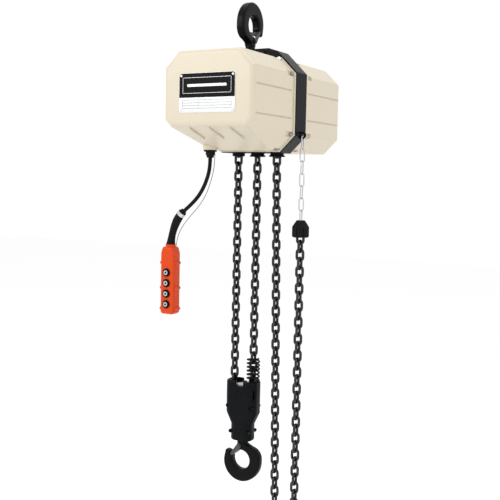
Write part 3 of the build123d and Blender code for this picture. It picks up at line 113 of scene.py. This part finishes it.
class CordSettings(bpy.types.PropertyGroup):
    """Sizes of the cable and the strain wire"""
    cable: bpy.props.FloatProperty(name="Cable", description="Diameter of the control cable",
                                   default=9.5 * MM, unit="LENGTH")
    wire: bpy.props.FloatProperty(name="Strain wire", description="Diameter of the wire",
                                  default=1.6 * MM, unit="LENGTH")


class StageSettings(bpy.types.PropertyGroup):
    """The floor, the lights and the camera"""
    floor: bpy.props.FloatProperty(name="Floor", description="Height of the floor",
                                   default=-1.9, unit="LENGTH")
    world: bpy.props.FloatProperty(name="World", description="Strength of the white surround",
                                   default=1.0, min=0)
    key: bpy.props.FloatProperty(name="Key light", description="Power of the main light",
                                 default=62.0, min=0, unit="POWER")
    lens: bpy.props.FloatProperty(name="Lens", description="Focal length", default=62.6,
                                  unit="CAMERA")
    azimuth: bpy.props.FloatProperty(name="Azimuth", description="Camera turned round the hoist",
                                     default=math.radians(29.1), unit="ROTATION")
    pitch: bpy.props.FloatProperty(name="Pitch", description="Camera tilted up, below zero for down",
                                   default=math.radians(-4.6), unit="ROTATION")
    roll: bpy.props.FloatProperty(name="Roll", description="Camera rolled",
                                  default=math.radians(1.15), unit="ROTATION")
    place: bpy.props.FloatVectorProperty(name="Camera", description="Where the camera stands",
                                         default=(1.0843, -1.9286, -0.4081),
                                         subtype="TRANSLATION")


# ---------------------------------------------------------------- helpers
def add_node(tree, kind, place=(0, 0), settings=None, **links):
    """One node of a tree: settings by attribute, inputs by name as values or output sockets."""
    made = tree.nodes.new(kind)
    made.location = place
    for key, value in (settings or {}).items():
        setattr(made, key, value)
    for key, value in links.items():
        socket = made.inputs[int(key[1:])] if key[0] == "i" and key[1:].isdigit() \
            else made.inputs[key.replace("_", " ")]
        if isinstance(value, bpy.types.NodeSocket):
            tree.links.new(value, socket)
        else:
            socket.default_value = value
    return made


def finish_of(name, colour, roughness, metallic=0.0, ior=1.5, grain=0.0, height=0.0,
              wear=0.0, spread=0.06, edge=0.0, coat=0.0, streak=None, gloss=0.5):
    """A procedural finish.

    grain is the size of the surface texture in metres and height its relief. wear lightens
    the colour in patches, spread varies the roughness, and edge is the softened edge radius.
    """
    material = bpy.data.materials.new(name)
    material.use_nodes = True
    tree = material.node_tree
    tree.nodes.clear()
    output = add_node(tree, "ShaderNodeOutputMaterial", (700, 0))
    shader = add_node(tree, "ShaderNodeBsdfPrincipled", (400, 0))
    tree.links.new(shader.outputs["BSDF"], output.inputs["Surface"])
    shader.inputs["Base Color"].default_value = colour
    shader.inputs["Metallic"].default_value = metallic
    shader.inputs["IOR"].default_value = ior
    shader.inputs["Coat Weight"].default_value = coat
    shader.inputs["Specular IOR Level"].default_value = gloss
    place = add_node(tree, "ShaderNodeTexCoord", (-900, 0)).outputs["Object"]
    if streak:
        place = add_node(tree, "ShaderNodeMapping", (-700, 0), Vector=place,
                         Scale=streak).outputs["Vector"]
    patches = add_node(tree, "ShaderNodeTexNoise", (-500, 200), Vector=place, Scale=1 / PATCH_SIZE,
                       Detail=5.0, Roughness=0.6)
    rough = add_node(tree, "ShaderNodeMapRange", (-200, 100), Value=patches.outputs["Fac"],
                     To_Min=max(SMOOTHEST, roughness - spread), To_Max=min(1, roughness + spread))
    tree.links.new(rough.outputs["Result"], shader.inputs["Roughness"])
    if wear:
        lighter = [c + (1 - c) * wear for c in colour[:3]] + [1]
        mixed = add_node(tree, "ShaderNodeMix", (100, 200), {"data_type": "RGBA"},
                         i6=colour, i7=lighter)
        tree.links.new(patches.outputs["Fac"], mixed.inputs[0])
        tree.links.new(mixed.outputs[2], shader.inputs["Base Color"])
    normal = None
    if edge:
        normal = add_node(tree, "ShaderNodeBevel", (-200, -400), {"samples": 4},
                          Radius=edge).outputs["Normal"]
    if height:
        fine = add_node(tree, "ShaderNodeTexNoise", (-500, -200), Vector=place,
                        Scale=1 / grain, Detail=3.0)
        bump = add_node(tree, "ShaderNodeBump", (100, -200), Height=fine.outputs["Fac"],
                        Strength=0.6, Distance=height)
        if normal:
            tree.links.new(normal, bump.inputs["Normal"])
        normal = bump.outputs["Normal"]
    if normal:
        tree.links.new(normal, shader.inputs["Normal"])
    return material


def dress(names, material):
    """Gives CAD pieces their finish and smooth shading between their real edges."""
    for name in names:
        piece = NODES[name]
        piece.data.materials.clear()
        piece.data.materials.append(material)
        given = piece.data.attributes.get("custom_normal")
        if given:
            piece.data.attributes.remove(given)
        piece.data.shade_smooth()
        weld = piece.modifiers.new("one skin", "WELD")
        weld.merge_threshold = WELD_REACH
        split = piece.modifiers.new("sharp edges", "EDGE_SPLIT")
        split.split_angle = math.radians(SHARP_ANGLE)
        split.use_edge_sharp = False


def keep_mesh(name, build, material):
    """A new mesh piece from a function that fills a bmesh in the shared frame."""
    mesh = bpy.data.meshes.new(name)
    skin = bmesh.new()
    build(skin)
    bmesh.ops.recalc_face_normals(skin, faces=skin.faces)
    skin.to_mesh(mesh)
    skin.free()
    mesh.shade_smooth()
    mesh.set_sharp_from_angle(angle=math.radians(SHARP_ANGLE))
    mesh.materials.append(material)
    made = bpy.data.objects.new(name, mesh)
    bpy.context.scene.collection.objects.link(made)
    return made


def add_box(skin, low, high):
    """A closed box between two corners, in millimetres."""
    middle = [(a + b) / 2 * MM for a, b in zip(low, high)]
    size = [(b - a) * MM for a, b in zip(low, high)]
    bmesh.ops.create_cube(skin, size=1.0,
                          matrix=Matrix.Translation(middle) @ Matrix.Diagonal((*size, 1)))


def add_ring(skin, middle, outer, inner, back, front, sides):
    """A flat ring that faces along Y, between two depths."""
    loops = [[skin.verts.new((middle.x + radius * math.cos(2 * math.pi * i / sides), y,
                              middle.z + radius * math.sin(2 * math.pi * i / sides)))
              for i in range(sides)]
             for radius, y in ((outer, back), (outer, front), (inner, front), (inner, back))]
    for one, two in zip(loops, loops[1:] + loops[:1]):
        for i in range(sides):
            j = (i + 1) % sides
            skin.faces.new((one[i], one[j], two[j], two[i]))


def islands_of(node):
    """The separate solids of a CAD piece, each as its corner points."""
    co = np.empty(len(node.data.vertices) * 3)
    node.data.vertices.foreach_get("co", co)
    keys, index = np.unique(np.round(co.reshape(-1, 3) / SAME_PLACE).astype(np.int64), axis=0,
                            return_inverse=True)
    index = index.reshape(-1)
    parent = list(range(len(keys)))

    def root(one):
        while parent[one] != one:
            parent[one] = parent[parent[one]]
            one = parent[one]
        return one

    for edge in node.data.edges:
        first, second = (root(index[v]) for v in edge.vertices)
        parent[first] = second
    groups = {}
    for one in range(len(keys)):
        groups.setdefault(root(one), []).append(keys[one] * SAME_PLACE)
    return [np.array(points) for points in groups.values()]


def axes_of(points):
    """Middle of a link and its turn, with its length along X and its thin way along Z."""
    middle = points.mean(0)
    centred = points - middle
    vectors = np.linalg.eigh(centred.T @ centred)[1]
    along, across = Vector(vectors[:, 2]), Vector(vectors[:, 1])
    flat = along.cross(across)
    turn = Matrix((along, across, flat)).transposed().to_euler()
    return middle, turn


def link_tree():
    """Geometry Nodes: a round-wire link on every point, turned by the point's attribute."""
    tree = bpy.data.node_groups.new("links on points", "GeometryNodeTree")
    face = tree.interface
    face.new_socket("Geometry", in_out="INPUT", socket_type="NodeSocketGeometry")
    for name in ("Length", "Width", "Wire"):
        face.new_socket(name, in_out="INPUT", socket_type="NodeSocketFloat")
    face.new_socket("Steps", in_out="INPUT", socket_type="NodeSocketInt")
    face.new_socket("Finish", in_out="INPUT", socket_type="NodeSocketMaterial")
    face.new_socket("Geometry", in_out="OUTPUT", socket_type="NodeSocketGeometry")
    nearly_half, corner_count = 0.4999, 7
    given = add_node(tree, "NodeGroupInput", (-900, 0)).outputs
    half = add_node(tree, "ShaderNodeMath", (-700, -200), {"operation": "MULTIPLY"},
                    i0=given["Wire"], i1=0.5).outputs[0]
    bend = add_node(tree, "ShaderNodeMath", (-700, -400), {"operation": "MULTIPLY"},
                    i0=given["Width"], i1=nearly_half).outputs[0]
    frame_curve = add_node(tree, "GeometryNodeCurvePrimitiveQuadrilateral", (-500, 0),
                           Width=given["Length"], Height=given["Width"])
    route = add_node(tree, "GeometryNodeFilletCurve", (-300, 0), {"mode": "POLY"},
                     Curve=frame_curve.outputs["Curve"], Radius=bend, Count=corner_count)
    section = add_node(tree, "GeometryNodeCurvePrimitiveCircle", (-300, -300), Radius=half,
                       Resolution=given["Steps"])
    link = add_node(tree, "GeometryNodeCurveToMesh", (-100, 0), Curve=route.outputs["Curve"],
                    Profile_Curve=section.outputs["Curve"])
    attribute = add_node(tree, "GeometryNodeInputNamedAttribute", (-300, -500),
                         {"data_type": "FLOAT_VECTOR"}, Name="turn")
    turned = add_node(tree, "FunctionNodeEulerToRotation", (-100, -500),
                      Euler=attribute.outputs["Attribute"])
    placed = add_node(tree, "GeometryNodeInstanceOnPoints", (100, 0), Points=given["Geometry"],
                      Instance=link.outputs["Mesh"], Rotation=turned.outputs["Rotation"])
    real = add_node(tree, "GeometryNodeRealizeInstances", (300, 0),
                    Geometry=placed.outputs["Instances"])
    smooth = add_node(tree, "GeometryNodeSetShadeSmooth", (450, 0),
                      Geometry=real.outputs["Geometry"])
    painted = add_node(tree, "GeometryNodeSetMaterial", (600, 0),
                       Geometry=smooth.outputs["Geometry"], Material=given["Finish"])
    out = add_node(tree, "NodeGroupOutput", (800, 0))
    tree.links.new(painted.outputs["Geometry"], out.inputs["Geometry"])
    return tree


def plain_result(host, name):
    """The evaluated mesh of a Geometry Nodes host as a plain piece of its own."""
    graph = bpy.context.evaluated_depsgraph_get()
    mesh = bpy.data.meshes.new_from_object(host.evaluated_get(graph))
    mesh.name = name
    made = bpy.data.objects.new(name, mesh)
    bpy.context.scene.collection.objects.link(made)
    bpy.data.objects.remove(host)
    return made


def grow(tree, points, turns, values, name):
    """Runs a tree on points with turns, its inputs set by socket identifier."""
    mesh = bpy.data.meshes.new(name + " points")
    mesh.from_pydata([tuple(p) for p in points], [], [])
    turn = mesh.attributes.new("turn", "FLOAT_VECTOR", "POINT")
    turn.data.foreach_set("vector", [v for euler in turns for v in euler])
    host = bpy.data.objects.new(name + " host", mesh)
    bpy.context.scene.collection.objects.link(host)
    modifier = host.modifiers.new("grow", "NODES")
    modifier.node_group = tree
    sockets = {item.name: item.identifier for item in tree.interface.items_tree
               if item.in_out == "INPUT" and item.name != "Geometry"}
    for key, value in values.items():
        modifier[sockets[key]] = value
    return plain_result(host, name)


def finish_named(name):
    """A finish that the first operator has made."""
    return bpy.data.materials[name]


# ---------------------------------------------------------------- operators
class HOIST_OT_finishes(bpy.types.Operator):
    """Makes every finish that the pieces share"""
    bl_idname = "hoist.finishes"
    bl_label = "Make finishes"

    def execute(self, context):
        tint = context.scene.hoist_finish
        finish_of("cast cover paint", [*tint.cover, 1], roughness=0.42, grain=1.6 * MM,
                  height=0.10 * MM, wear=0.05, edge=tint.edge, coat=0.12)
        finish_of("black frame paint", [*tint.frame, 1], roughness=0.3, grain=1.2 * MM,
                  height=0.12 * MM, wear=0.002, edge=tint.edge, gloss=0.05)
        finish_of("blackened steel", linear("3A3B3D"), roughness=0.26, metallic=1.0, ior=2.5,
                  grain=0.7 * MM, height=0.02 * MM, spread=0.12)
        finish_of("oiled hook steel", linear("0A0B0C"), roughness=0.3, grain=1.0 * MM,
                  height=0.05 * MM, spread=0.1, edge=1.2 * MM, gloss=0.08)
        finish_of("dull sheet steel", linear("4E4F50"), roughness=0.4, metallic=1.0, ior=2.5,
                  grain=0.6 * MM, height=0.01 * MM, spread=0.12)
        finish_of("zinc plate", linear("C4C6C8"), roughness=0.26, metallic=1.0, ior=2.5, grain=0.5 * MM,
                  height=0.01 * MM, spread=0.1)
        finish_of("ground steel", linear("B8B8B4"), roughness=0.3, metallic=1.0, ior=2.5,
                  grain=0.4 * MM, height=0.01 * MM, streak=(1, 1, 8))
        finish_of("die cast aluminium", linear("B4B6B8"), roughness=0.45, metallic=1.0, ior=1.44,
                  grain=1.0 * MM, height=0.05 * MM)
        finish_of("black rubber", linear("0F0F10"), roughness=0.6, ior=1.52, grain=0.8 * MM,
                  height=0.03 * MM, wear=0.002, gloss=0.08)
        finish_of("black moulding", linear("0D0E10"), roughness=0.4, ior=1.49, grain=0.5 * MM,
                  height=0.02 * MM, gloss=0.1)
        finish_of("orange moulding", [*tint.pendant, 1], roughness=0.36, ior=1.49, grain=0.6 * MM,
                  height=0.02 * MM, edge=0.5 * MM, gloss=0.2)
        finish_of("anodised plate", linear("BFC0C0"), roughness=0.3, metallic=0.9, ior=1.44,
                  grain=0.3 * MM, height=0.004 * MM, streak=(0.1, 1, 6))
        finish_of("plate ink", linear("060607"), roughness=0.28, spread=0.03, gloss=0.08)
        return {"FINISHED"}


class HOIST_OT_castings(bpy.types.Operator):
    """Paints the covers, the frame, the yoke and the bottom block"""
    bl_idname = "hoist.castings"
    bl_label = "Paint castings"

    def execute(self, context):
        dress(("front_cover", "rear_cover"), finish_named("cast cover paint"))
        dress(("centre_frame", "suspension_yoke", "block_front_shell", "block_rear_shell"),
              finish_named("black frame paint"))
        return {"FINISHED"}


class HOIST_OT_hardware(bpy.types.Operator):
    """Finishes hooks, guides, bolts, pins, screws and the buffer spring"""
    bl_idname = "hoist.hardware"
    bl_label = "Finish hardware"

    def execute(self, context):
        dress(("top_hook", "load_hook", "yoke_bolts", "block_bolts", "live_chain_guide",
               "slack_chain_guide", "buffer_spring"), finish_named("oiled hook steel"))
        dress(("cover_screws", "plate_rivets", "top_hook_nut", "load_hook_nut", "boot_clamp"),
              finish_named("zinc plate"))
        dress(("top_latch", "load_latch", "top_latch_pin", "load_latch_pin"),
              finish_named("dull sheet steel"))
        dress(("idle_axle",), finish_named("black frame paint"))
        return {"FINISHED"}


class HOIST_OT_inside(bpy.types.Operator):
    """Finishes the motor, brake, gears, wheels and electrical pieces inside the covers"""
    bl_idname = "hoist.inside"
    bl_label = "Finish the inside"

    def execute(self, context):
        dress(("dead_end_pin", "top_thrust_bearing", "load_thrust_bearing",
               "idle_sheave", "load_sheave", "load_gear", "intermediate_gear",
               "sheave_bearings", "motor_rotor", "brake_armature"),
              finish_named("ground steel"))
        dress(("gear_case", "motor_stator"), finish_named("die cast aluminium"))
        dress(("brake_coil", "brake_disc", "cooling_fan", "contactors", "transformer",
               "limit_switch"), finish_named("black moulding"))
        dress(("control_panel",), finish_named("zinc plate"))
        return {"FINISHED"}


class HOIST_OT_load_chain(bpy.types.Operator):
    """Grows the round links of the load chain on the links of the frame"""
    bl_idname = "hoist.load_chain"
    bl_label = "Grow load chain"

    def execute(self, context):
        size = context.scene.hoist_chain
        tree = link_tree()
        for node in ("load_chain_dead_fall", "load_chain_in_block", "load_chain_live_fall",
                     "load_chain_slack_side"):
            found = [axes_of(points) for points in islands_of(NODES[node])]
            made = grow(tree, [f[0] for f in found], [f[1] for f in found],
                        {"Length": size.pitch + size.wire, "Width": size.width - size.wire,
                         "Wire": size.wire, "Steps": size.steps,
                         "Finish": finish_named("blackened steel")}, node + "_links")
            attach(made, BODY_OF[node])
            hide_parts(node)
            if node in FALLS:
                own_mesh(made)
        return {"FINISHED"}


class HOIST_OT_tie_chain(bpy.types.Operator):
    """Grows the bright tie chain that holds the end stopper"""
    bl_idname = "hoist.tie_chain"
    bl_label = "Grow tie chain"

    def execute(self, context):
        size = context.scene.hoist_chain
        found = islands_of(NODES["tie_chain"])
        turns = [axes_of(points) for points in found]
        spans = []
        for points, (_, turn) in zip(found, turns):
            along = np.array(turn.to_matrix().col[0])
            across = np.array(turn.to_matrix().col[1])
            spans.append((np.ptp(points @ along), np.ptp(points @ across)))
        long, wide = (float(np.median([span[i] for span in spans])) for i in (0, 1))
        wire_share = 0.97
        made = grow(link_tree(), [t[0] for t in turns], [t[1] for t in turns],
                    {"Length": long - size.tie_wire, "Width": wide - size.tie_wire,
                     "Wire": size.tie_wire * wire_share, "Steps": size.steps,
                     "Finish": finish_named("zinc plate")}, "tie_chain_links")
        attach(made, BODY_OF["tie_chain"])
        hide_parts("tie_chain")
        return {"FINISHED"}


class HOIST_OT_name_plate(bpy.types.Operator):
    """Prints the plain name plate: a black field with an inset line over a ruled bare field"""
    bl_idname = "hoist.name_plate"
    bl_label = "Print name plate"

    def execute(self, context):
        dress(("name_plate",), finish_named("anodised plate"))
        low, high = (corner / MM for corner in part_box("name_plate"))
        face = low.y
        margin, corner, field_share = 0.8, 6.2, 0.38
        sunk, ink_proud, column_proud = 0.01, 0.06, 0.058
        split = low.z + field_share * (high.z - low.z)
        left, right, top = low.x + margin, high.x - margin, high.z - margin

        def field(skin):
            outline = [(left, split), (right, split)]
            steps, step_angle = 7, 15
            for x, start in ((right - corner, 0), (left + corner, 90)):
                for step in range(steps):
                    angle = math.radians(start + step_angle * step)
                    outline.append((x + corner * math.cos(angle),
                                    top - corner + corner * math.sin(angle)))
            back, front = ([skin.verts.new((x * MM, y * MM, z * MM)) for x, z in outline]
                           for y in (face + sunk, face - ink_proud))
            skin.faces.new(front)
            skin.faces.new(reversed(back))
            for i in range(len(outline)):
                j = (i + 1) % len(outline)
                skin.faces.new((front[i], back[i], back[j], front[j]))

        def rules(skin):
            rows, pitch, thick = 4, 6.4, 0.5
            side, column, first = 9, 52, split - 5.5
            for row in range(rows):
                z = first - row * pitch
                add_box(skin, (left + side, face - ink_proud, z - thick / 2),
                        (right - side, face + sunk, z + thick / 2))
            for x in (left + side, left + column, right - side):
                add_box(skin, (x - thick / 2, face - column_proud, first - (rows - 1) * pitch),
                        (x + thick / 2, face + sunk, first))

        def inset(skin):
            inner, thick, bar_end, bar_half = 9.5, 0.8, 22, 3
            line_front, line_back = 0.1, 0.03
            bar = (split + top) / 2
            edges = ((left + inner, right - inner, top - inner - thick, top - inner),
                     (left + inner, right - inner, split + inner, split + inner + thick),
                     (left + inner, left + inner + thick, split + inner, top - inner),
                     (right - inner - thick, right - inner, split + inner, top - inner),
                     (left + bar_end, right - bar_end, bar - bar_half, bar + bar_half))
            for x0, x1, z0, z1 in edges:
                add_box(skin, (x0, face - line_front, z0), (x1, face - line_back, z1))

        for name, build, ink in (("plate_black_field", field, "plate ink"),
                                 ("plate_rules", rules, "plate ink"),
                                 ("plate_inset_line", inset, "anodised plate")):
            made = keep_mesh(name, build, finish_named(ink))
            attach(made, "hoist")
        return {"FINISHED"}


class HOIST_OT_cords(bpy.types.Operator):
    """Hangs the control cable and the thin strain wire down to the pendant"""
    bl_idname = "hoist.cords"
    bl_label = "Hang cords"

    def execute(self, context):
        size = context.scene.hoist_cord
        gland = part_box("cable_gland")
        wire_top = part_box("strain_wire")[1].z / MM
        hanging_plane = -98
        routes = {
            "control_cable": (size.cable, "black rubber",
                              [(-52, gland[0].z / MM), (-52, -378), (-59.5, -407),
                               (-74.5, -438), (-98, -466.5), (-127.5, -489.5)]),
            "strain_wire": (size.wire, "dull sheet steel",
                            [(-38.5, wire_top), (-38.5, -374), (-47, -408), (-61, -445),
                             (-84, -478), (-112, -505), (-135, -533), (-147, -560),
                             (-149.5, -581)]),
        }
        for node, (diameter, ink, route) in routes.items():
            points = [(x, hanging_plane, z) for x, z in route]
            line = bpy.data.curves.new(node + "_run", "CURVE")
            line.dimensions = "3D"
            line.bevel_depth = diameter / 2
            line.bevel_resolution = 6
            line.use_fill_caps = True
            spline = line.splines.new("NURBS")
            spline.points.add(len(points) - 1)
            for point, place in zip(spline.points, points):
                point.co = (*(Vector(place) * MM), 1)
            spline.order_u = 3
            spline.use_endpoint_u = True
            spline.resolution_u = 12
            line.materials.append(finish_named(ink))
            run = bpy.data.objects.new(node + "_run", line)
            context.scene.collection.objects.link(run)
            context.view_layer.update()
            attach(run, "hoist")
            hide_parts(node)
        return {"FINISHED"}


class HOIST_OT_pendant(bpy.types.Operator):
    """Finishes the pendant, its buttons, its boot and the cable gland"""
    bl_idname = "hoist.pendant"
    bl_label = "Finish pendant"

    def execute(self, context):
        dress(("pendant_front", "pendant_back"), finish_named("orange moulding"))
        dress((*BUTTONS, "cable_gland"), finish_named("black moulding"))
        dress(("pendant_boot", "end_stopper", "button_bezels"), finish_named("black rubber"))
        outer, inner, proud, sunk, sides = 6.0 * MM, 2.8 * MM, 0.5 * MM, 0.1 * MM, 32
        for button in BUTTONS:
            low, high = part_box(button)
            made = keep_mesh(button + "_ring", lambda skin: add_ring(
                skin, (low + high) / 2, outer, inner, low.y + sunk, low.y - proud, sides),
                finish_named("zinc plate"))
            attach(made, BODY_OF[button])
        return {"FINISHED"}


class HOIST_OT_stage(bpy.types.Operator):
    """Sets the pale floor, the soft lights and the camera"""
    bl_idname = "hoist.stage"
    bl_label = "Set stage"

    def execute(self, context):
        stage = context.scene.hoist_stage
        scene = context.scene
        world = bpy.data.worlds.new("white surround")
        world.use_nodes = True
        scene.world = world
        surround = world.node_tree.nodes["Background"].inputs
        surround["Color"].default_value = linear("FFFFFF")
        surround["Strength"].default_value = stage.world
        pale = finish_of("pale floor", linear("FDFDFD"), roughness=0.95, spread=0.02, gloss=0.0)
        half, top, thick = 14000, stage.floor / MM, 10
        floor = keep_mesh("floor", lambda skin: add_box(
            skin, (-half, -half, top - thick), (half, half, top)), pale)
        target, fill_share = Vector((0.02, 0, -0.6)), 0.35
        for name, place, width, power in (
                ("key light", (-1.9, -3.1, 1.3), 2.2, stage.key),
                ("side light", (3.2, -1.2, 0.9), 2.4, stage.key * fill_share),
                ("top light", (0.3, 0.2, 2.4), 2.0, stage.key * fill_share)):
            lamp = bpy.data.lights.new(name, "AREA")
            lamp.energy = power
            lamp.size = width
            made = bpy.data.objects.new(name, lamp)
            made.location = place
            made.rotation_euler = (target - Vector(place)).to_track_quat("-Z", "Y").to_euler()
            scene.collection.objects.link(made)
        lens = bpy.data.cameras.new("camera")
        lens.lens = stage.lens
        lens.sensor_width, lens.clip_end = 36, 60
        camera = bpy.data.objects.new("camera", lens)
        scene.collection.objects.link(camera)
        yaw, pitch = stage.azimuth, stage.pitch
        ahead = Vector((-math.sin(yaw) * math.cos(pitch), math.cos(yaw) * math.cos(pitch),
                        math.sin(pitch)))
        right = Vector((math.cos(yaw), math.sin(yaw), 0))
        up = right.cross(ahead)
        spun_right = right * math.cos(stage.roll) + up * math.sin(stage.roll)
        spun_up = up * math.cos(stage.roll) - right * math.sin(stage.roll)
        turn = Matrix((spun_right, spun_up, -ahead)).transposed().to_4x4()
        camera.matrix_world = Matrix.Translation(stage.place) @ turn
        scene.camera = camera
        scene.view_settings.view_transform = "Standard"
        return {"FINISHED"}


OPERATORS = (HOIST_OT_finishes, HOIST_OT_castings, HOIST_OT_hardware, HOIST_OT_inside,
             HOIST_OT_load_chain, HOIST_OT_tie_chain, HOIST_OT_name_plate, HOIST_OT_cords,
             HOIST_OT_pendant, HOIST_OT_stage)


class HOIST_PT_panel(bpy.types.Panel):
    """Lists the hoist's settings and steps"""
    bl_idname = "HOIST_PT_panel"
    bl_label = "Hoist"
    bl_space_type = "VIEW_3D"
    bl_region_type = "UI"
    bl_category = "Hoist"

    def draw(self, context):
        for group in SETTINGS:
            values = getattr(context.scene, group)
            for key in values.bl_rna.properties.keys():
                if key not in ("rna_type", "name"):
                    self.layout.prop(values, key)
        for step in OPERATORS:
            self.layout.operator(step.bl_idname)


SETTINGS = {"hoist_chain": ChainSettings, "hoist_finish": FinishSettings,
            "hoist_cord": CordSettings, "hoist_stage": StageSettings}


def register():
    for kind in (*SETTINGS.values(), *OPERATORS, HOIST_PT_panel):
        bpy.utils.register_class(kind)
    for name, kind in SETTINGS.items():
        setattr(bpy.types.Scene, name, bpy.props.PointerProperty(type=kind))


def unregister():
    for name in SETTINGS:
        delattr(bpy.types.Scene, name)
    for kind in (HOIST_PT_panel, *reversed(OPERATORS), *SETTINGS.values()):
        bpy.utils.unregister_class(kind)


def main():
    register()
    for step in OPERATORS:
        group, name = step.bl_idname.split(".")
        getattr(getattr(bpy.ops, group), name)()


if __name__ == "__main__":
    main()
